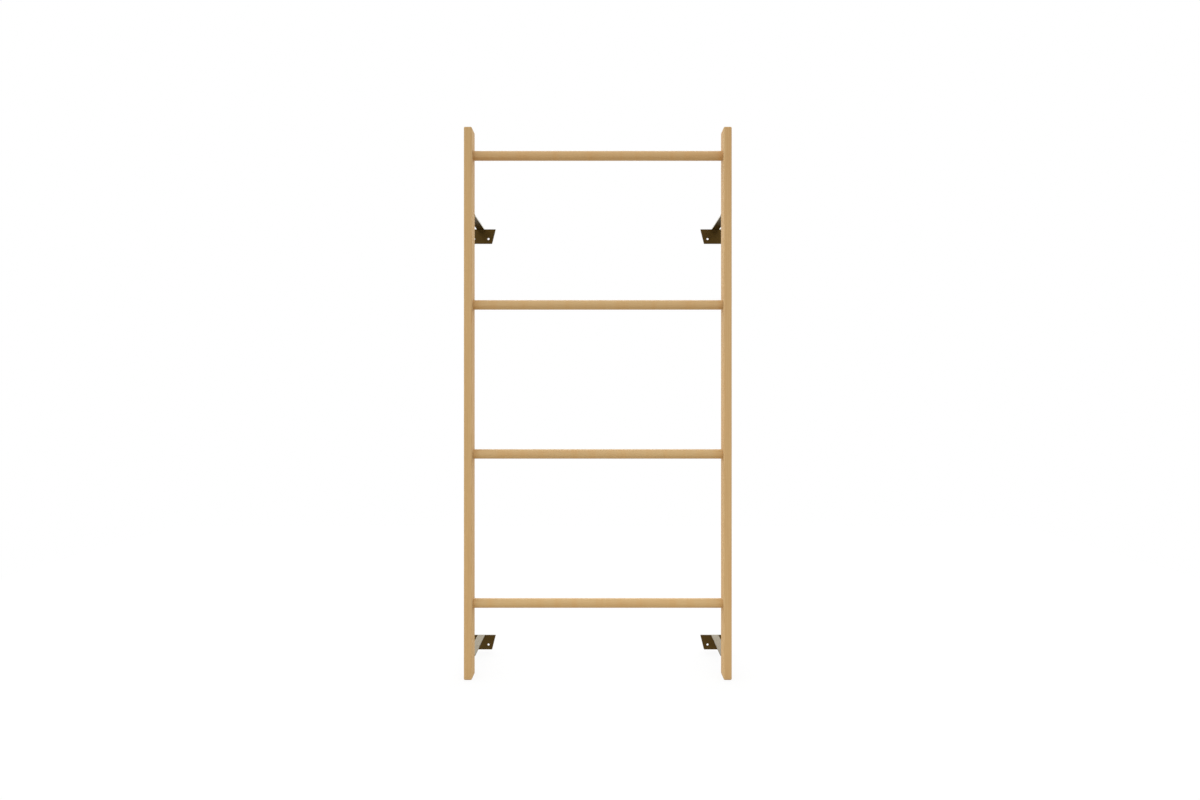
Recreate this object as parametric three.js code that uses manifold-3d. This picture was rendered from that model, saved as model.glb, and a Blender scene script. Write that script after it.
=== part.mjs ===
// Wall bars: a wooden ladder of two stiles and round rungs, held off the wall by four steel brackets.
// Millimetres, +Z up. The origin is on the wall plane, midway between the stiles and level with their feet.
// The wall lies towards +Y, so the front of the ladder faces -Y.

import * as THREE from 'three';
import { RoundedBoxGeometry } from 'three/addons/geometries/RoundedBoxGeometry.js';
import { mergeVertices } from 'three/addons/utils/BufferGeometryUtils.js';
import Module from 'manifold-3d';

const wasm = await Module();
wasm.setup();

// Stiles, the two upright boards.
const FRAME_WIDTH = 1000; // across the outer faces of both stiles
const STILE_HEIGHT = 2065;
const STILE_THICKNESS = 30; // the narrow face, seen from the front
const STILE_DEPTH = 80; // front to back
const STILE_ROUND = 5; // rounding of every edge
const WALL_GAP = 290; // back of a stile to the wall

// Rungs, round bars let into blind sockets in the stiles.
const RUNG_COUNT = 4;
const RUNG_DIAMETER = 36;
const LOWEST_RUNG = 279; // axis of the lowest rung above the foot of a stile
const TOP_RUNG_DROP = 98.5; // axis of the top rung below the top of a stile
const RUNG_CHAMFER = 1.5;
const SOCKET_FLOOR = 10; // wood left behind the end of a rung

// Dowels, driven in from the back to lock each rung end.
const DOWEL_DIAMETER = 8;
const DOWEL_CHAMFER = 1;
const DOWEL_BITE = 8; // how far a dowel runs on into the wood in front of the rung

// Brackets, flat bar bent up behind the stile and welded to a tapered wall plate.
const STEEL = 5; // thickness of bar and plate
const ARM_WIDTH = 30; // flat bar as wide as the stile
const BEND_RADIUS = 6; // inside of the bend
const TAB_HEIGHT = 75; // above the top face of the arm
const TAB_CORNER = 6;
const TAB_INSET = 1.5; // taken off each side of the tab, to hide it behind the stile's rounded edges
const PLATE_TOP_WIDTH = 120;
const PLATE_BOTTOM_WIDTH = 90;
const PLATE_HEIGHT = 60;
const PLATE_CORNER = 2;
const WELD_LEG = 4;
const WALL_HOLE_DIAMETER = 9;
const WALL_HOLE_SPACING = 60;
const WALL_HOLE_RISE = 20; // above the bottom edge of the plate
const LOWER_ARM = 69; // top face of a lower arm above the foot of a stile
const UPPER_ARM_DROP = 311; // top face of an upper arm below the top of a stile

// Coach screws, which hold each tab to the back of its stile.
const SCREW_DIAMETER = 6;
const SCREW_LENGTH = 50; // under the head
const SCREW_POINT = 8; // length of the tapered end
const HEAD_ACROSS_FLATS = 10;
const HEAD_HEIGHT = 4;
const HEAD_CROWN = 9.5; // diameter of the flat inside the head's chamfer
const SCREWS_PER_TAB = 2; // spread evenly over the flat of the tab

const FIT = 0.3; // clearance between pieces
const OVERRUN = 1; // how far a cutter runs past the face it starts from

// Places that follow from the sizes above.
const STILE_X = (FRAME_WIDTH - STILE_THICKNESS) / 2;
const STILE_Y = -WALL_GAP - STILE_DEPTH / 2;
const SOCKET_DEPTH = STILE_THICKNESS - SOCKET_FLOOR;
const RUNG_LENGTH = FRAME_WIDTH - 2 * (SOCKET_FLOOR + FIT);
const RUNG_SPACING = (STILE_HEIGHT - LOWEST_RUNG - TOP_RUNG_DROP) / (RUNG_COUNT - 1);
const DOWEL_X = FRAME_WIDTH / 2 - SOCKET_FLOOR - SOCKET_DEPTH / 2;
const DOWEL_LENGTH = (STILE_DEPTH + RUNG_DIAMETER) / 2 + DOWEL_BITE - FIT;
const UPPER_ARM = STILE_HEIGHT - UPPER_ARM_DROP;
const TAB_FRONT = -WALL_GAP + FIT;
const TAB_BACK = TAB_FRONT + STEEL;
const SCREW_SEAT = TAB_BACK + FIT; // underside of a screw head

// Finishes: pale wood, dark bronze paint and zinc plate.
const STILE_WOOD = { color: 0xbf9d6e, roughness: 0.55, metalness: 0 };
const RUNG_WOOD = { color: 0xc4a274, roughness: 0.5, metalness: 0 };
const DOWEL_WOOD = { color: 0xb08d5e, roughness: 0.7, metalness: 0 };
const BRONZE_PAINT = { color: 0x4a381a, roughness: 0.4, metalness: 0.5 };
const ZINC = { color: 0xb4b6b8, roughness: 0.35, metalness: 1 };

// Where each axis of a drawn outline points once it is extruded.
const ALONG_X = new THREE.Matrix4().makeBasis(
  new THREE.Vector3(0, 1, 0),
  new THREE.Vector3(0, 0, 1),
  new THREE.Vector3(1, 0, 0),
);
const ALONG_MINUS_Y = new THREE.Matrix4().makeBasis(
  new THREE.Vector3(1, 0, 0),
  new THREE.Vector3(0, 0, 1),
  new THREE.Vector3(0, -1, 0),
);

// A geometry as a solid that can be joined and cut.
function solidOf(geometry) {
  const bare = geometry.clone();
  bare.deleteAttribute('normal');
  bare.deleteAttribute('uv');
  const closed = mergeVertices(bare, 1e-4);
  const mesh = new wasm.Mesh({
    numProp: 3,
    vertProperties: closed.attributes.position.array,
    triVerts: new Uint32Array(closed.index.array),
  });
  mesh.merge();
  return new wasm.Manifold(mesh);
}

// A solid as a named mesh with a material of its own.
function meshOf(name, solid, finish) {
  const { vertProperties, triVerts } = solid.getMesh();
  const geometry = new THREE.BufferGeometry();
  geometry.setAttribute('position', new THREE.BufferAttribute(vertProperties, 3));
  geometry.setIndex(new THREE.BufferAttribute(triVerts, 1));
  const faceted = geometry.toNonIndexed();
  faceted.computeVertexNormals();
  const mesh = new THREE.Mesh(faceted, new THREE.MeshStandardMaterial(finish));
  mesh.name = name;
  return mesh;
}

// A solid turned about Y, from pairs of radius and height that start and end on the axis.
function turned(profile, segments) {
  const points = profile.map(([radius, height]) => new THREE.Vector2(radius, height));
  return solidOf(new THREE.LatheGeometry(points, segments));
}

// A round cutter along Y between two places.
function borer(diameter, from, to, segments) {
  const radius = diameter / 2;
  const cylinder = new THREE.CylinderGeometry(radius, radius, to - from, segments);
  cylinder.translate(0, (from + to) / 2, 0);
  return solidOf(cylinder);
}

// An outline given a thickness in the direction of a basis.
function slab(outline, thickness, basis) {
  const geometry = new THREE.ExtrudeGeometry(outline, {
    depth: thickness,
    bevelEnabled: false,
    curveSegments: 8,
  });
  return solidOf(geometry.applyMatrix4(basis));
}

// An outline through the given corners, each rounded by its own radius.
function roundedOutline(corners) {
  const outline = new THREE.Shape();
  corners.forEach(([x, y, radius], index) => {
    const corner = new THREE.Vector2(x, y);
    const previous = corners.at(index - 1);
    const next = corners[(index + 1) % corners.length];
    const start = new THREE.Vector2(previous[0], previous[1]).sub(corner).setLength(radius).add(corner);
    const end = new THREE.Vector2(next[0], next[1]).sub(corner).setLength(radius).add(corner);
    if (index === 0) {
      outline.moveTo(start.x, start.y);
    } else {
      outline.lineTo(start.x, start.y);
    }
    outline.quadraticCurveTo(x, y, end.x, end.y);
  });
  outline.closePath();
  return outline;
}

// Height of a rung's axis above the foot of the stiles.
function rungHeight(index) {
  return LOWEST_RUNG + index * RUNG_SPACING;
}

// Height of a coach screw above the top face of its arm.
function screwHeight(index) {
  const pitch = (TAB_HEIGHT - BEND_RADIUS) / SCREWS_PER_TAB;
  return BEND_RADIUS + (index + 0.5) * pitch;
}

// A hole for a dowel, from the back face of a stile.
function dowelHole(depth) {
  const back = STILE_DEPTH / 2;
  return borer(DOWEL_DIAMETER + 2 * FIT, back - depth, back + OVERRUN, 16);
}

// A rounded board with rung sockets in its inner face, and dowel and screw holes in its back.
// The side is -1 for the left stile and +1 for the right one.
function stile(side) {
  const board = new RoundedBoxGeometry(STILE_THICKNESS, STILE_DEPTH, STILE_HEIGHT, 4, STILE_ROUND);
  board.translate(0, 0, STILE_HEIGHT / 2);
  let body = solidOf(board);

  const innerFace = -side * (STILE_THICKNESS / 2);
  const socket = borer(RUNG_DIAMETER + 2 * FIT, -OVERRUN, SOCKET_DEPTH, 48).rotate([0, 0, -side * 90]);
  const dowelInset = innerFace + (side * SOCKET_DEPTH) / 2;
  const dowel = dowelHole(DOWEL_LENGTH + 2 * FIT);
  for (let index = 0; index < RUNG_COUNT; index += 1) {
    const height = rungHeight(index);
    body = body.subtract(socket.translate([innerFace, 0, height]));
    body = body.subtract(dowel.translate([dowelInset, 0, height]));
  }

  const screwTip = SCREW_SEAT - SCREW_LENGTH - STILE_Y;
  const pilot = borer(SCREW_DIAMETER + 2 * FIT, screwTip - FIT, STILE_DEPTH / 2 + OVERRUN, 16);
  for (const arm of [LOWER_ARM, UPPER_ARM]) {
    for (let index = 0; index < SCREWS_PER_TAB; index += 1) {
      body = body.subtract(pilot.translate([0, 0, arm + screwHeight(index)]));
    }
  }
  return body;
}

// A round bar with chamfered ends and a cross hole for the dowel near each end.
function rung() {
  const radius = RUNG_DIAMETER / 2;
  const end = RUNG_LENGTH / 2;
  const bar = turned(
    [
      [0, -end],
      [radius - RUNG_CHAMFER, -end],
      [radius, RUNG_CHAMFER - end],
      [radius, end - RUNG_CHAMFER],
      [radius - RUNG_CHAMFER, end],
      [0, end],
    ],
    48,
  ).rotate([0, 0, -90]);
  const hole = dowelHole(STILE_DEPTH + OVERRUN);
  return bar.subtract(hole.translate([-DOWEL_X, 0, 0])).subtract(hole.translate([DOWEL_X, 0, 0]));
}

// A plain pin with both ends chamfered, its back end at the origin.
function dowel() {
  const radius = DOWEL_DIAMETER / 2;
  return turned(
    [
      [0, -DOWEL_LENGTH],
      [radius - DOWEL_CHAMFER, -DOWEL_LENGTH],
      [radius, DOWEL_CHAMFER - DOWEL_LENGTH],
      [radius, -DOWEL_CHAMFER],
      [radius - DOWEL_CHAMFER, 0],
      [0, 0],
    ],
    16,
  );
}

// The bar seen from its side: along the arm, round the bend and up the tab.
function barSide() {
  const bendY = TAB_BACK + BEND_RADIUS;
  const wallEnd = -STEEL / 2;
  const outline = new THREE.Shape();
  outline.moveTo(wallEnd, 0);
  outline.lineTo(bendY, 0);
  outline.absarc(bendY, BEND_RADIUS, BEND_RADIUS, -Math.PI / 2, -Math.PI, true);
  outline.lineTo(TAB_BACK, TAB_HEIGHT);
  outline.lineTo(TAB_FRONT, TAB_HEIGHT);
  outline.lineTo(TAB_FRONT, BEND_RADIUS);
  outline.absarc(bendY, BEND_RADIUS, BEND_RADIUS + STEEL, -Math.PI, -Math.PI / 2, false);
  outline.lineTo(wallEnd, -STEEL);
  outline.closePath();
  return outline;
}

// The bar seen from the front: it narrows over the bend to the tab, whose top corners are rounded off.
function barFront() {
  const arm = ARM_WIDTH / 2;
  const tab = arm - TAB_INSET;
  return roundedOutline([
    [-arm, -2 * STEEL, 0],
    [arm, -2 * STEEL, 0],
    [arm, 0, 0],
    [tab, BEND_RADIUS, 0],
    [tab, TAB_HEIGHT, TAB_CORNER],
    [-tab, TAB_HEIGHT, TAB_CORNER],
    [-tab, BEND_RADIUS, 0],
    [-arm, 0, 0],
  ]);
}

function wallPlate() {
  const top = PLATE_TOP_WIDTH / 2;
  const bottom = PLATE_BOTTOM_WIDTH / 2;
  const outline = roundedOutline([
    [-bottom, -PLATE_HEIGHT, PLATE_CORNER],
    [bottom, -PLATE_HEIGHT, PLATE_CORNER],
    [top, 0, PLATE_CORNER],
    [-top, 0, PLATE_CORNER],
  ]);
  let plate = slab(outline, STEEL, ALONG_MINUS_Y);
  const hole = borer(WALL_HOLE_DIAMETER, -STEEL - OVERRUN, OVERRUN, 32);
  const height = WALL_HOLE_RISE - PLATE_HEIGHT;
  for (const side of [-1, 1]) {
    plate = plate.subtract(hole.translate([(side * WALL_HOLE_SPACING) / 2, 0, height]));
  }
  return plate;
}

// A hollow fillet under the arm, sunk a little into the arm and the plate.
function weld() {
  const corner = -STEEL;
  const toe = corner - WELD_LEG;
  const throat = corner - WELD_LEG * 0.3;
  const root = corner + STEEL / 4;
  const outline = new THREE.Shape();
  outline.moveTo(root, root);
  outline.lineTo(toe, root);
  outline.lineTo(toe, corner);
  outline.quadraticCurveTo(throat, throat, corner, toe);
  outline.lineTo(root, toe);
  outline.closePath();
  return slab(outline, ARM_WIDTH, ALONG_X).translate([-ARM_WIDTH / 2, 0, 0]);
}

// One bracket, with its origin on the wall in the middle of the top edge of its plate.
function bracket() {
  const bent = slab(barSide(), ARM_WIDTH, ALONG_X).translate([-ARM_WIDTH / 2, 0, 0]);
  const trimmed = bent.intersect(slab(barFront(), WALL_GAP, ALONG_MINUS_Y));
  let body = trimmed.add(wallPlate()).add(weld());
  const hole = borer(SCREW_DIAMETER + 2 * FIT, TAB_FRONT - OVERRUN, TAB_BACK + OVERRUN, 16);
  for (let index = 0; index < SCREWS_PER_TAB; index += 1) {
    body = body.subtract(hole.translate([0, 0, screwHeight(index)]));
  }
  return body;
}

// A hexagon head with a turned chamfer over a tapered shank, its seat at the origin.
function coachScrew() {
  const shank = SCREW_DIAMETER / 2;
  const corner = HEAD_ACROSS_FLATS / Math.sqrt(3);
  const crown = HEAD_CROWN / 2;
  const shoulder = HEAD_HEIGHT - (corner - crown) * Math.tan(Math.PI / 6);
  const hexagon = new THREE.CylinderGeometry(corner, corner, HEAD_HEIGHT, 6);
  hexagon.translate(0, HEAD_HEIGHT / 2, 0);
  const chamfer = turned(
    [
      [0, 0],
      [corner, 0],
      [corner, shoulder],
      [crown, HEAD_HEIGHT],
      [0, HEAD_HEIGHT],
    ],
    24,
  );
  const rod = turned(
    [
      [0, -SCREW_LENGTH],
      [shank, SCREW_POINT - SCREW_LENGTH],
      [shank, HEAD_HEIGHT / 2],
      [0, HEAD_HEIGHT / 2],
    ],
    16,
  );
  return solidOf(hexagon).intersect(chamfer).add(rod);
}

// The ladder: both stiles, the rungs and the dowels that lock them.
function ladder() {
  const group = new THREE.Group();
  group.name = 'ladder';
  const bar = rung();
  const pin = dowel();
  for (const [word, side] of [['left', -1], ['right', 1]]) {
    const upright = meshOf(`stile_${word}`, stile(side), STILE_WOOD);
    upright.position.set(side * STILE_X, STILE_Y, 0);
    group.add(upright);
    for (let index = 0; index < RUNG_COUNT; index += 1) {
      const peg = meshOf(`dowel_${word}_${index + 1}`, pin, DOWEL_WOOD);
      peg.position.set(side * DOWEL_X, -WALL_GAP - FIT, rungHeight(index));
      group.add(peg);
    }
  }
  for (let index = 0; index < RUNG_COUNT; index += 1) {
    const mesh = meshOf(`rung_${index + 1}`, bar, RUNG_WOOD);
    mesh.position.set(0, STILE_Y, rungHeight(index));
    group.add(mesh);
  }
  return group;
}

// One bracket and the screws that hold it to its stile.
function bracketSet(place, steel, screw) {
  const group = new THREE.Group();
  group.name = `bracket_set_${place}`;
  group.add(meshOf(`bracket_${place}`, steel, BRONZE_PAINT));
  for (let index = 0; index < SCREWS_PER_TAB; index += 1) {
    const mesh = meshOf(`screw_${place}_${index + 1}`, screw, ZINC);
    mesh.position.set(0, SCREW_SEAT, screwHeight(index));
    group.add(mesh);
  }
  return group;
}

const wallBars = new THREE.Group();
wallBars.name = 'wall_bars';
wallBars.add(ladder());

const steel = bracket();
const screw = coachScrew();
for (const [level, height] of [['lower', LOWER_ARM], ['upper', UPPER_ARM]]) {
  for (const [word, side] of [['left', -1], ['right', 1]]) {
    const set = bracketSet(`${level}_${word}`, steel, screw);
    set.position.set(side * STILE_X, 0, height);
    wallBars.add(set);
  }
}

export default wallBars;
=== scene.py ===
"""Looks for the wall bars: varnished beech stiles and rungs on dark bronze steel brackets.

Metres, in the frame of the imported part: +Z up, the wall towards +Y, the front towards -Y.
"""
import math

import bmesh
import bpy
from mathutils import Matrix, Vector


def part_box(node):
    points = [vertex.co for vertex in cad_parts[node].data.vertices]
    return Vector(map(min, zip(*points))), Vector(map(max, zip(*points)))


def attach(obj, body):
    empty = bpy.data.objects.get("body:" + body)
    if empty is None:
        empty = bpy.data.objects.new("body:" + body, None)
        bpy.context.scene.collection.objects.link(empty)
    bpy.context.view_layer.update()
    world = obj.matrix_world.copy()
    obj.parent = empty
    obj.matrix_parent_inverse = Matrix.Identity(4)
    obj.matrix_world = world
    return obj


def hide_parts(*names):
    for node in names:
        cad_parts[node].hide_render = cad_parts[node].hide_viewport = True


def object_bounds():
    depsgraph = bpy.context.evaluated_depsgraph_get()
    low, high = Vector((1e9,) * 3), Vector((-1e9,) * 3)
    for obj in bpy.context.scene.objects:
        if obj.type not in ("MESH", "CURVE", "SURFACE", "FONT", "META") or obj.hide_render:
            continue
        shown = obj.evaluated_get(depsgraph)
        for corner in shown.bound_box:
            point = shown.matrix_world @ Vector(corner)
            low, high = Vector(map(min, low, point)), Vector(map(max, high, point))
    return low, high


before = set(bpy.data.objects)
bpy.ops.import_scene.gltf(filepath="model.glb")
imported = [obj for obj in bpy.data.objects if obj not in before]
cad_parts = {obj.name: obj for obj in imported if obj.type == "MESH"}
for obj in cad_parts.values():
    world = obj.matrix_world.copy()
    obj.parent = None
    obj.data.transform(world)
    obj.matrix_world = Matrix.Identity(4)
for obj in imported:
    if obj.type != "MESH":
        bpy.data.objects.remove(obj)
CAD_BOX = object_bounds()

MM = 0.001
SIDES = ("left", "right")
LEVELS = ("lower", "upper")
RUNGS = range(1, 5)
SCREWS = range(1, 3)
X, Y, Z = range(3)
WHITE = (1, 1, 1, 1)

# The photograph's width and focal length in pixels, and the sensor's width in millimetres. Then where
# the camera stands: in front of the frame, to the right of its middle and above its feet.
PHOTO_WIDTH = 1200
FOCAL = 857.8
SENSOR = 36.0
CAMERA_DISTANCE = 3.198
CAMERA_SIDE = 0.0082
CAMERA_HEIGHT = 1.0451


class Graph:
    """The node tree of a material or a world, with short ways to add nodes and wire them."""

    def __init__(self, owner, output):
        owner.use_nodes = True
        self.owner = owner
        self.tree = owner.node_tree
        self.tree.nodes.clear()
        self.output = self.add(output)

    def add(self, kind, inputs=None, **settings):
        """Adds a node, and sets its settings and inputs."""
        node = self.tree.nodes.new(kind)
        for key, value in settings.items():
            setattr(node, key, value)
        for key, value in (inputs or {}).items():
            self.put(node.inputs[key], value)
        return node

    def put(self, socket, value):
        """Links another node's output to a socket, or sets a constant on it."""
        if isinstance(value, bpy.types.NodeSocket):
            self.tree.links.new(value, socket)
        else:
            socket.default_value = value

    def math(self, operation, first, second=0.0):
        return self.add("ShaderNodeMath", {0: first, 1: second}, operation=operation).outputs[0]

    def times(self, first, second):
        return self.math("MULTIPLY", first, second)

    def plus(self, first, second):
        return self.math("ADD", first, second)

    def step(self, value, low, high, start=0.0, end=1.0):
        """A smooth step from start to end while value goes from low to high."""
        inputs = {"Value": value, "From Min": low, "From Max": high, "To Min": start, "To Max": end}
        return self.add("ShaderNodeMapRange", inputs, interpolation_type="SMOOTHSTEP").outputs[0]

    def split(self, vector):
        return self.add("ShaderNodeSeparateXYZ", {0: vector}).outputs

    def place(self, offset=(0, 0, 0), scale=(1, 1, 1)):
        """The part's own coordinates, moved by an offset and then stretched."""
        coordinates = self.add("ShaderNodeTexCoord").outputs["Object"]
        moved = self.add("ShaderNodeVectorMath", {0: coordinates, 1: offset}, operation="ADD")
        inputs = {0: moved.outputs[0], 1: scale}
        return self.add("ShaderNodeVectorMath", inputs, operation="MULTIPLY").outputs[0]

    def noise(self, vector, scale=1.0, detail=2.0, roughness=0.5):
        """Noise from 0 to 1 that repeats about as often as scale says in each metre."""
        inputs = {"Vector": vector, "Scale": scale, "Detail": detail, "Roughness": roughness}
        return self.add("ShaderNodeTexNoise", inputs).outputs["Fac"]

    def blend(self, factor, first, second):
        """A number that goes from first to second with the factor."""
        return self.add("ShaderNodeMix", {0: factor, 2: first, 3: second}, data_type="FLOAT").outputs[0]

    def mix(self, factor, first, second, how="MIX"):
        """A colour that goes from first to second with the factor."""
        inputs = {0: factor, 6: first, 7: second}
        return self.add("ShaderNodeMix", inputs, data_type="RGBA", blend_type=how).outputs[2]

    def tint(self, factor, colour, tone):
        """The colour, darkened towards its product with the tone."""
        return self.mix(factor, colour, tone, "MULTIPLY")

    def bump(self, height, strength, distance):
        inputs = {"Height": height, "Strength": strength, "Distance": distance}
        return self.add("ShaderNodeBump", inputs).outputs[0]

    def surface(self, **inputs):
        """Gives the material its shader, with one input per named value."""
        shader = self.add("ShaderNodeBsdfPrincipled")
        for key, value in inputs.items():
            self.put(shader.inputs[key.replace("_", " ")], value)
        self.put(self.output.inputs["Surface"], shader.outputs[0])
        return self.owner


def material_graph(name):
    return Graph(bpy.data.materials.new(name), "ShaderNodeOutputMaterial")


# Wood

STILE_TONE = (0.582, 0.395, 0.186, 1)
# Each rung's tone, lighter on the lower rungs: painted light, as if the floor lit them more from below.
RUNG_TONES_LIT_BY_FLOOR = {
    1: (0.582, 0.399, 0.185, 1),
    2: (0.578, 0.397, 0.186, 1),
    3: (0.566, 0.380, 0.174, 1),
    4: (0.562, 0.369, 0.166, 1),
}

# What each part of the figure, and the painted shade at the rung ends, multiplies the wood's own tone by,
# where it is strongest.
RED_TONE = (0.92, 0.76, 0.62, 1)
GREEN_TONE = (0.96, 1.0, 0.98, 1)
RING_TONE = (0.80, 0.70, 0.60, 1)
FLECK_TONE = (0.62, 0.47, 0.36, 1)
END_TONE = (0.70, 0.60, 0.50, 1)
BAND_TONE = (0.98, 0.86, 0.67, 1)
# The warm tone of painted shade where a rung enters a stile.
JOINT_SHADE_TONE = (0.98, 0.84, 0.68, 1)

# The bare tone of edges that hands have rubbed.
RUBBED_TONE = (0.66, 0.48, 0.26, 1)

DOWEL_DARK = (0.36, 0.21, 0.08, 1)
DOWEL_LIGHT = (0.45, 0.28, 0.115, 1)

# What moves the figure of each piece, and how far a seed of one moves it along each axis.
STILE_SEEDS = {"left": 1.3, "right": 5.2}
RUNG_SEED = 4.1
SEED_STEP = (0.37, 0.53, 0.71)

RING_WIDTH = 3.1 * MM
PITH_OFFSET = 45 * MM
# How far from each stile the painted shade on a rung reaches.
JOINT_SHADE_REACH = 14 * MM

# How often each pattern repeats in a metre, as one number or as two, across and along the grain.
FIBRES = 1400
STREAKS = 130
FLECKS = 1800
YEARS = 150
BANDS = 16
TOOL_MARKS = 600
PORES = 2600
DOWEL_CLOUDS = 240
BLOTCHES = (26.0, 2.2)
RING_DRIFT = (6.0, 1.1)
RUBBED_PATCHES = (60.0, 14.0)

# The share of that number that fibres, streaks and flecks keep along the grain.
FIBRE_STRETCH = 0.02
FLECK_STRETCH = 0.18

# How far the rings wander, how strongly years and rings show, and how rough the varnish is.
SAWN = {"wander": 50 * MM, "years": 0.30, "rings": 0.20, "roughness": 0.80}
TURNED = {"wander": 12 * MM, "years": 0.10, "rings": 0.10, "roughness": 0.46}
ROUGHER_FIBRE = 0.11
ROUGHER_END = 0.18
VARNISH_GLOSS = 0.36


def along(grain, across, lengthwise):
    """A stretch that differs along the grain."""
    scale = [across] * 3
    scale[grain] = lengthwise
    return scale


def growth_rings(graph, grain, middle, shift, wander):
    """Dark late wood round a pith outside the piece, and the tone that changes over the years."""
    pith = along(grain, PITH_OFFSET, 0.0)
    offset = [there - here for there, here in zip(pith, middle)]
    radial = graph.place(offset, along(grain, 1.0, 0.0))
    radius = graph.add("ShaderNodeVectorMath", {0: radial}, operation="LENGTH").outputs["Value"]
    drift = graph.noise(graph.place(shift, along(grain, *RING_DRIFT)))
    radius = graph.plus(radius, graph.times(drift, wander))
    year = graph.math("FRACT", graph.math("DIVIDE", radius, RING_WIDTH))
    late = graph.times(graph.step(year, 0.30, 0.90), graph.step(year, 1.0, 0.92))
    inputs = {"W": radius, "Scale": YEARS, "Detail": 2.0, "Roughness": 0.5}
    years = graph.add("ShaderNodeTexNoise", inputs, noise_dimensions="1D").outputs["Fac"]
    return late, years


def wood_figure(graph, tone, grain, middle, shift, cut):
    """The colour and the height of plain wood, and the fibres that its varnish follows."""
    fibre_space = graph.place(shift, along(grain, 1.0, FIBRE_STRETCH))
    fibre = graph.noise(fibre_space, FIBRES, 3, 0.6)
    streak = graph.noise(fibre_space, STREAKS, 3, 0.55)
    fleck_space = graph.place(shift, along(grain, 1.0, FLECK_STRETCH))
    fleck = graph.step(graph.noise(fleck_space, FLECKS, 1, 0.4), 0.66, 0.74)
    blotch = graph.noise(graph.place(shift, along(grain, *BLOTCHES)))
    ring, years = growth_rings(graph, grain, middle, shift, cut["wander"])

    colour = graph.tint(graph.step(blotch, 0.52, 0.72, 0.0, 0.28), tone, RED_TONE)
    colour = graph.tint(graph.step(blotch, 0.48, 0.30, 0.0, 0.25), colour, GREEN_TONE)
    colour = graph.tint(graph.step(years, 0.40, 0.62, 0.0, cut["years"]), colour, RED_TONE)
    colour = graph.tint(graph.times(ring, cut["rings"]), colour, RING_TONE)
    colour = graph.tint(graph.step(streak, 0.40, 0.75, 0.0, 0.20), colour, RING_TONE)
    colour = graph.tint(graph.step(fibre, 0.35, 0.75, 0.0, 0.12), colour, FLECK_TONE)
    colour = graph.tint(graph.times(fleck, 0.32), colour, FLECK_TONE)

    height = graph.times(fibre, 0.6)
    height = graph.math("SUBTRACT", height, graph.times(fleck, 0.5))
    height = graph.math("SUBTRACT", height, graph.times(ring, 0.3))
    return colour, height, fibre


def turned_finish(graph, colour, height, grain, middle, shift, clear_length):
    """Bands and tool marks round a rung, and painted shade where it enters the stiles."""
    lathe_space = graph.place(shift, along(grain, 0.0, 1.0))
    band = graph.noise(lathe_space, BANDS, 3, 0.6)
    colour = graph.tint(graph.step(band, 0.44, 0.66, 0.0, 0.45), colour, BAND_TONE)
    tool_mark = graph.noise(lathe_space, TOOL_MARKS, 2, 0.6)
    height = graph.plus(height, graph.times(tool_mark, 0.5))
    from_middle = graph.split(graph.place([-value for value in middle]))[grain]
    reach = graph.math("ABSOLUTE", from_middle)
    # Painted shade: the rung is darkened towards its ends, where it meets the stiles.
    joint_shade = graph.step(reach, clear_length / 2 - JOINT_SHADE_REACH, clear_length / 2)
    colour = graph.tint(graph.times(joint_shade, 0.3), colour, JOINT_SHADE_TONE)
    return colour, height


def rubbed_corners(graph, colour, grain, shift, normal):
    """Paler patches along the rounded edges of a stile."""
    corner = graph.math("ABSOLUTE", graph.times(normal[X], normal[Y]))
    patch = graph.step(graph.noise(graph.place(shift, along(grain, *RUBBED_PATCHES))), 0.40, 0.62)
    rubbed = graph.times(patch, graph.step(corner, 0.18, 0.45, 0.0, 0.35))
    return graph.mix(rubbed, colour, RUBBED_TONE)


def wood(name, tone, grain, middle, seed, clear_length=None):
    """Varnished beech. The grain runs along one axis, and the seed moves the figure.

    Only a turned rung is given a clear length, the one between the stiles.
    """
    turned = clear_length is not None
    cut = TURNED if turned else SAWN
    graph = material_graph(name)
    shift = [seed * step - value for step, value in zip(SEED_STEP, middle)]
    colour, height, fibre = wood_figure(graph, tone, grain, middle, shift, cut)
    normal = graph.split(graph.add("ShaderNodeNewGeometry").outputs["Normal"])
    if turned:
        colour, height = turned_finish(graph, colour, height, grain, middle, shift, clear_length)
    else:
        colour = rubbed_corners(graph, colour, grain, shift, normal)

    end = graph.step(graph.math("ABSOLUTE", normal[grain]), 0.55, 0.95)
    colour = graph.tint(graph.times(end, 0.7), colour, END_TONE)
    rough = graph.step(fibre, 0.3, 0.8, cut["roughness"], cut["roughness"] + ROUGHER_FIBRE)
    return graph.surface(
        Base_Color=colour,
        Roughness=graph.plus(rough, graph.times(end, ROUGHER_END)),
        Specular_IOR_Level=VARNISH_GLOSS,
        Normal=graph.bump(height, 0.04, 0.12 * MM),
    )


def end_grain(name):
    """The cut end of a dowel: pores and a slightly darker tone."""
    graph = material_graph(name)
    space = graph.place()
    pores = graph.step(graph.noise(space, PORES, 2, 0.5), 0.58, 0.70)
    tone = graph.noise(space, DOWEL_CLOUDS, 2, 0.5)
    colour = graph.mix(graph.step(tone, 0.3, 0.7), DOWEL_DARK, DOWEL_LIGHT)
    colour = graph.tint(graph.times(pores, 0.6), colour, FLECK_TONE)
    return graph.surface(
        Base_Color=colour,
        Roughness=graph.step(pores, 0.0, 1.0, 0.55, 0.75),
        Normal=graph.bump(pores, 0.3, 0.2 * MM),
    )


# Metal

BRONZE = (0.080, 0.0475, 0.0114, 1)
BRONZE_DARK = (0.0715, 0.042, 0.0104, 1)
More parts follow.
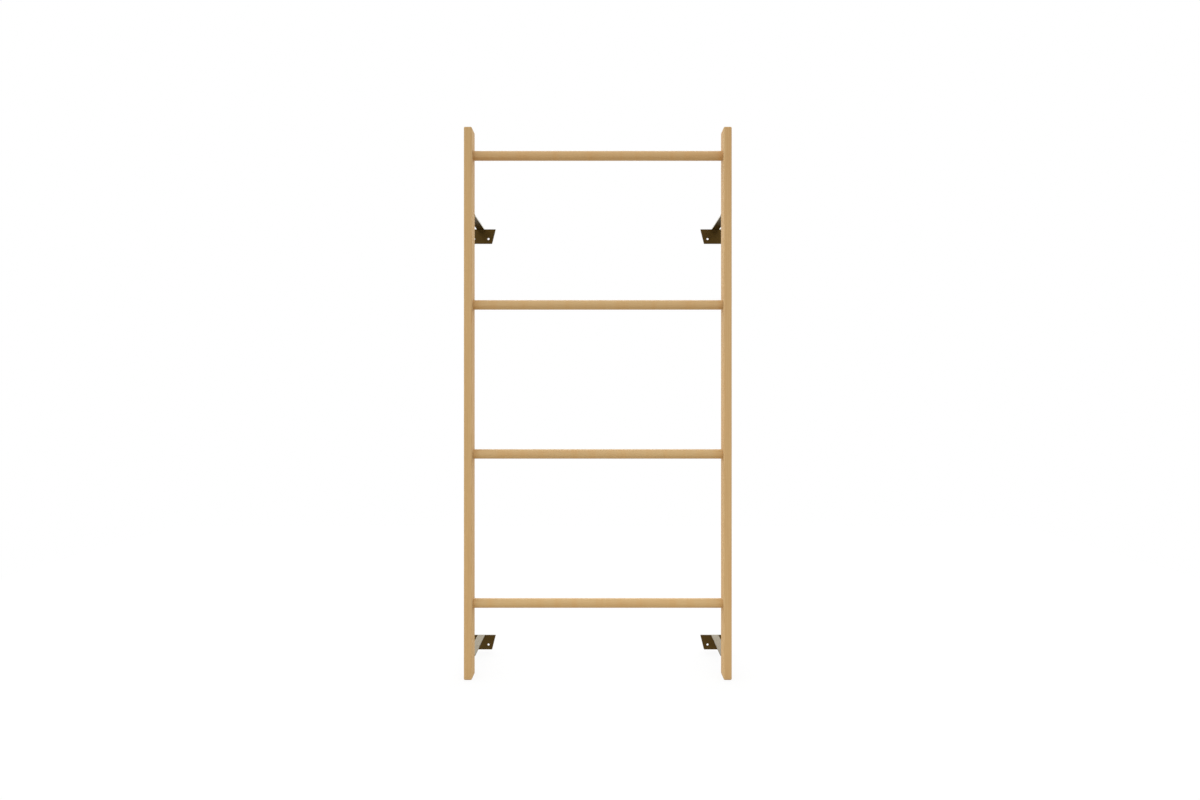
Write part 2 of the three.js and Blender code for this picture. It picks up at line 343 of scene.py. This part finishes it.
# Pale spots for the bevelled edges: partly wear, partly a painted highlight along the edges.
BRONZE_WEAR_AND_SHEEN = (0.150, 0.092, 0.035, 1)
BRONZE_GRAZING = (0.765, 0.775, 0.70, 1)
BRONZE_ROUGHNESS = (0.24, 0.31)
ZINC_DARK = (0.50, 0.50, 0.49, 1)
ZINC_LIGHT = (0.62, 0.62, 0.63, 1)
ZINC_ROUGHNESS = (0.26, 0.40)

# How often each pattern repeats in a metre.
MOTTLES = 90
PAINT_GRAIN = 1500
WEAR_AND_SHEEN_SPOTS = 220
CLOUDS = 350
SCRATCHES = 2600


def bronze(name, wear_and_sheen):
    """A dark bronze finish on steel: a faint mottle and a fine texture. The edge copy adds pale spots,
    partly wear and partly a painted highlight.
    """
    graph = material_graph(name)
    space = graph.place()
    mottle = graph.noise(space, MOTTLES, 4, 0.6)
    grain = graph.noise(space, PAINT_GRAIN, 2, 0.5)
    colour = graph.mix(graph.step(mottle, 0.35, 0.68), BRONZE_DARK, BRONZE)
    if wear_and_sheen:
        # Pale spots, partly wear and partly a painted edge highlight.
        wear_and_sheen_mask = graph.step(graph.noise(space, WEAR_AND_SHEEN_SPOTS, 3, 0.6), 0.42, 0.62)
        colour = graph.mix(graph.times(wear_and_sheen_mask, 0.8), colour, BRONZE_WEAR_AND_SHEEN)
    rough = graph.step(mottle, 0.3, 0.7, *BRONZE_ROUGHNESS)
    rough = graph.plus(rough, graph.times(grain, 0.04))
    return graph.surface(
        Base_Color=colour,
        Metallic=0.5,
        Specular_IOR_Level=0.1,
        Specular_Tint=BRONZE_GRAZING,
        Roughness=rough,
        Normal=graph.bump(grain, 0.10, 0.1 * MM),
    )


def zinc(name):
    """Bright zinc plate with a faint cloudy tint."""
    graph = material_graph(name)
    cloud = graph.noise(graph.place(), CLOUDS, 3, 0.6)
    colour = graph.mix(graph.step(cloud, 0.3, 0.7), ZINC_DARK, ZINC_LIGHT)
    scratch = graph.noise(graph.place(scale=along(Z, 1.0, 0.1)), SCRATCHES, 2, 0.5)
    return graph.surface(
        Base_Color=colour,
        Metallic=1.0,
        Roughness=graph.step(cloud, 0.3, 0.7, *ZINC_ROUGHNESS),
        Normal=graph.bump(scratch, 0.15, 0.05 * MM),
    )


# Pieces

# Edges turned by more than the crease stay sharp. Faces turned by less than the flat angle are joined.
CREASE = math.radians(32)
FLAT = math.radians(0.5)
SAME_POINT = 0.005 * MM
BEVEL_SEGMENTS = 2


def clean_mesh(node, piece_name):
    """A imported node's mesh with facets welded, flat faces joined and stored normals dropped."""
    mesh = bmesh.new()
    mesh.from_mesh(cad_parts[node].data)
    bmesh.ops.remove_doubles(mesh, verts=mesh.verts, dist=SAME_POINT)
    bmesh.ops.dissolve_limit(mesh, angle_limit=FLAT, verts=mesh.verts, edges=mesh.edges)
    for edge in mesh.edges:
        edge.smooth = edge.calc_face_angle(math.pi) < CREASE
    for face in mesh.faces:
        face.smooth = True
        face.material_index = 0
    data = bpy.data.meshes.new(piece_name)
    mesh.to_mesh(data)
    mesh.free()
    if "custom_normal" in data.attributes:
        data.attributes.remove(data.attributes["custom_normal"])
    return data


def add_piece(name, data, materials):
    """Puts a mesh in the scene as a piece of the part."""
    piece = bpy.data.objects.new(name, data)
    bpy.context.scene.collection.objects.link(piece)
    for material in materials:
        piece.data.materials.append(material)
    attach(piece, "root")
    return piece


def dress(node, materials, bevel=0.0):
    """Stands a cleaned copy in for a node, with softened edges where a bevel is given."""
    name = node + "_dressed"
    piece = add_piece(name, clean_mesh(node, name), materials)
    if bevel:
        soften = piece.modifiers.new("soften", "BEVEL")
        soften.width = bevel
        soften.segments = BEVEL_SEGMENTS
        soften.limit_method = "ANGLE"
        soften.angle_limit = CREASE
        soften.material = len(materials) - 1
    shade = piece.modifiers.new("shade", "WEIGHTED_NORMAL")
    shade.keep_sharp = True
    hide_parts(node)


def node_middle(node):
    low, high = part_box(node)
    return (low + high) / 2


def dress_frame():
    """Stiles, rungs, and the dowels that lock the rungs."""
    for side in SIDES:
        node = f"stile_{side}"
        beech = wood(f"{node}_beech", STILE_TONE, Z, node_middle(node), STILE_SEEDS[side])
        dress(node, [beech])
    clear_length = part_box("stile_right")[0][X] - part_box("stile_left")[1][X]
    for index in RUNGS:
        node = f"rung_{index}"
        seed = RUNG_SEED + index
        beech = wood(f"{node}_beech", RUNG_TONES_LIT_BY_FLOOR[index], X, node_middle(node), seed, clear_length)
        dress(node, [beech])
    pin = end_grain("dowel_end_grain")
    for side in SIDES:
        for index in RUNGS:
            dress(f"dowel_{side}_{index}", [pin])


# The bracket's own sizes, and the bead in the angle under its arm. BEAD_END is the share of its section
# that is left at its ends, and RIPPLE_BOW is how far a ripple bows, in pitches.
STEEL = 5 * MM
ARM_WIDTH = 30 * MM
PLATE_HEIGHT = 60 * MM
BEAD_RADIUS = 4.3 * MM
BEAD_ROOT = 1.0 * MM
BEAD_END = 0.35
RIPPLE_PITCH = 2.3 * MM
RIPPLE_HEIGHT = 0.4 * MM
RIPPLE_BOW = 0.5
RIPPLE_STEPS = 6
BEAD_SIDES = 9


def bead_section(distance, corner):
    """One slice across a weld bead, in the angle under the arm, at a distance along it."""
    left = min(distance, ARM_WIDTH - distance)
    swell = math.sqrt(min(1.0, BEAD_END + (1 - BEAD_END) * left / BEAD_RADIUS))
    points = [(corner[0] + BEAD_ROOT, corner[1] + BEAD_ROOT)]
    for index in range(BEAD_SIDES):
        share = index / (BEAD_SIDES - 1)
        angle = math.pi * (1 + share / 2)
        bow = RIPPLE_BOW * math.sin(math.pi * share)
        ripple = abs(math.sin(math.pi * (distance / RIPPLE_PITCH + bow)))
        radius = swell * (BEAD_RADIUS + RIPPLE_HEIGHT * (ripple - 0.5))
        points.append((corner[0] + radius * math.cos(angle), corner[1] + radius * math.sin(angle)))
    return points


def weld_bead(place, material):
    """A rippled fillet weld along the underside of the arm, where it meets the wall plate."""
    low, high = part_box(f"bracket_{place}")
    arm_top = low[Z] + PLATE_HEIGHT
    start = (low[X] + high[X] - ARM_WIDTH) / 2
    corner = (high[Y] - STEEL, arm_top - STEEL)
    slices = RIPPLE_STEPS * round(ARM_WIDTH / RIPPLE_PITCH)
    mesh = bmesh.new()
    rings = []
    for index in range(slices + 1):
        distance = ARM_WIDTH * index / slices
        section = bead_section(distance, corner)
        rings.append([mesh.verts.new((start + distance, y, z)) for y, z in section])
    count = len(rings[0])
    for near, far in zip(rings, rings[1:]):
        for index in range(count):
            after = (index + 1) % count
            mesh.faces.new((near[index], near[after], far[after], far[index]))
    mesh.faces.new(rings[0])
    mesh.faces.new(rings[-1])
    bmesh.ops.recalc_face_normals(mesh, faces=mesh.faces)
    for face in mesh.faces:
        face.smooth = len(face.verts) == 4
    data = bpy.data.meshes.new(f"weld_bead_{place}")
    mesh.to_mesh(data)
    mesh.free()
    add_piece(f"weld_bead_{place}", data, [material])


BRACKET_EDGE = 0.5 * MM
SCREW_EDGE = 0.25 * MM


def dress_brackets():
    """Brackets with their weld beads and coach screws."""
    steel = bronze("bracket_bronze", False)
    edge = bronze("bracket_bronze_edge", True)
    plated = zinc("screw_zinc")
    for level in LEVELS:
        for side in SIDES:
            place = f"{level}_{side}"
            dress(f"bracket_{place}", [steel, edge], BRACKET_EDGE)
            weld_bead(place, steel)
            for index in SCREWS:
                dress(f"screw_{place}_{index}", [plated], SCREW_EDGE)


# Stage

FLOOR_SIZE = 7.0
FLOOR_GAP = 0.5 * MM

# The floor's tone for light that it throws back, its tone as seen, and the share that is seen as white.
FLOOR_TONE = (0.56, 0.52, 0.45, 1)
FLOOR_SEEN_TONE = (0.80, 0.80, 0.80, 1)
FLOOR_WHITE = 0.88

# The world's light: the sines of elevation between which it rises, its levels and its leanings.
HORIZON = (-0.17, 0.04)
LIGHT_BELOW = 0.58
LIGHT_ABOVE = 1.18
LEFT_BIAS = 0.13
BACK_BIAS = 0.12


def seen_directly(graph):
    """One where the camera looks, straight or by reflection or through glass."""
    ray = graph.add("ShaderNodeLightPath").outputs
    seen = graph.math("MAXIMUM", ray["Is Camera Ray"], ray["Is Transmission Ray"])
    return graph.math("MAXIMUM", seen, ray["Is Glossy Ray"])


def make_floor():
    """Pale floor that the camera and reflections see nearly white, with the object's shadow kept."""
    graph = material_graph("floor_pale")
    seen = seen_directly(graph)
    matte = graph.add("ShaderNodeBsdfDiffuse", {"Color": graph.mix(seen, FLOOR_TONE, FLOOR_SEEN_TONE)})
    white = graph.add("ShaderNodeEmission", {"Color": WHITE, "Strength": 1.0})
    inputs = {0: graph.times(seen, FLOOR_WHITE), 1: matte.outputs[0], 2: white.outputs[0]}
    blend = graph.add("ShaderNodeMixShader", inputs)
    graph.put(graph.output.inputs["Surface"], blend.outputs[0])

    half = FLOOR_SIZE / 2
    data = bpy.data.meshes.new("floor")
    corners = [(-half, -half, 0), (half, -half, 0), (half, half, 0), (-half, half, 0)]
    data.from_pydata(corners, [], [(0, 1, 2, 3)])
    data.materials.append(graph.owner)
    floor = bpy.data.objects.new("floor", data)
    floor.location = (0, 0, -FLOOR_GAP)
    bpy.context.scene.collection.objects.link(floor)


def make_world():
    """White to the camera and in reflections. Its light is weaker from below, the right and the front."""
    world = bpy.data.worlds.new("studio")
    bpy.context.scene.world = world
    graph = Graph(world, "ShaderNodeOutputWorld")
    direction = graph.split(graph.add("ShaderNodeTexCoord").outputs["Generated"])
    side = graph.math("SUBTRACT", 1.0, graph.times(direction[X], LEFT_BIAS))
    side = graph.plus(side, graph.times(direction[Y], BACK_BIAS))
    light = graph.times(side, graph.step(direction[Z], *HORIZON, LIGHT_BELOW, LIGHT_ABOVE))
    level = graph.blend(seen_directly(graph), light, 1.0)
    sky = graph.add("ShaderNodeBackground", {"Color": WHITE, "Strength": level})
    graph.put(graph.output.inputs["Surface"], sky.outputs[0])


def make_sun(name, direction, strength, spread):
    """A soft lamp that lights top and foot alike. The direction is the way its light travels."""
    data = bpy.data.lights.new(name, "SUN")
    data.energy = strength
    data.angle = math.radians(spread)
    lamp = bpy.data.objects.new(name, data)
    lamp.rotation_euler = Vector(direction).to_track_quat("-Z", "Y").to_euler()
    bpy.context.scene.collection.objects.link(lamp)


def make_camera():
    """Level camera square to the frame, as far away as the photograph's perspective says."""
    data = bpy.data.cameras.new("camera")
    data.sensor_width = SENSOR
    data.sensor_fit = "HORIZONTAL"
    data.lens = SENSOR * FOCAL / PHOTO_WIDTH
    camera = bpy.data.objects.new("camera", data)
    front = CAD_BOX[0][Y]
    camera.location = (CAMERA_SIDE, front - CAMERA_DISTANCE, CAMERA_HEIGHT)
    camera.rotation_euler = (math.pi / 2, 0, 0)
    bpy.context.scene.collection.objects.link(camera)
    bpy.context.scene.camera = camera


make_camera()
dress_frame()
dress_brackets()
make_floor()
make_world()
make_sun("key", direction=(0.6, 0.7, -0.9), strength=0.30, spread=90)
make_sun("back", direction=(0.0, -0.90, -0.42), strength=1.2, spread=56)
bpy.context.scene.view_settings.view_transform = "Standard"
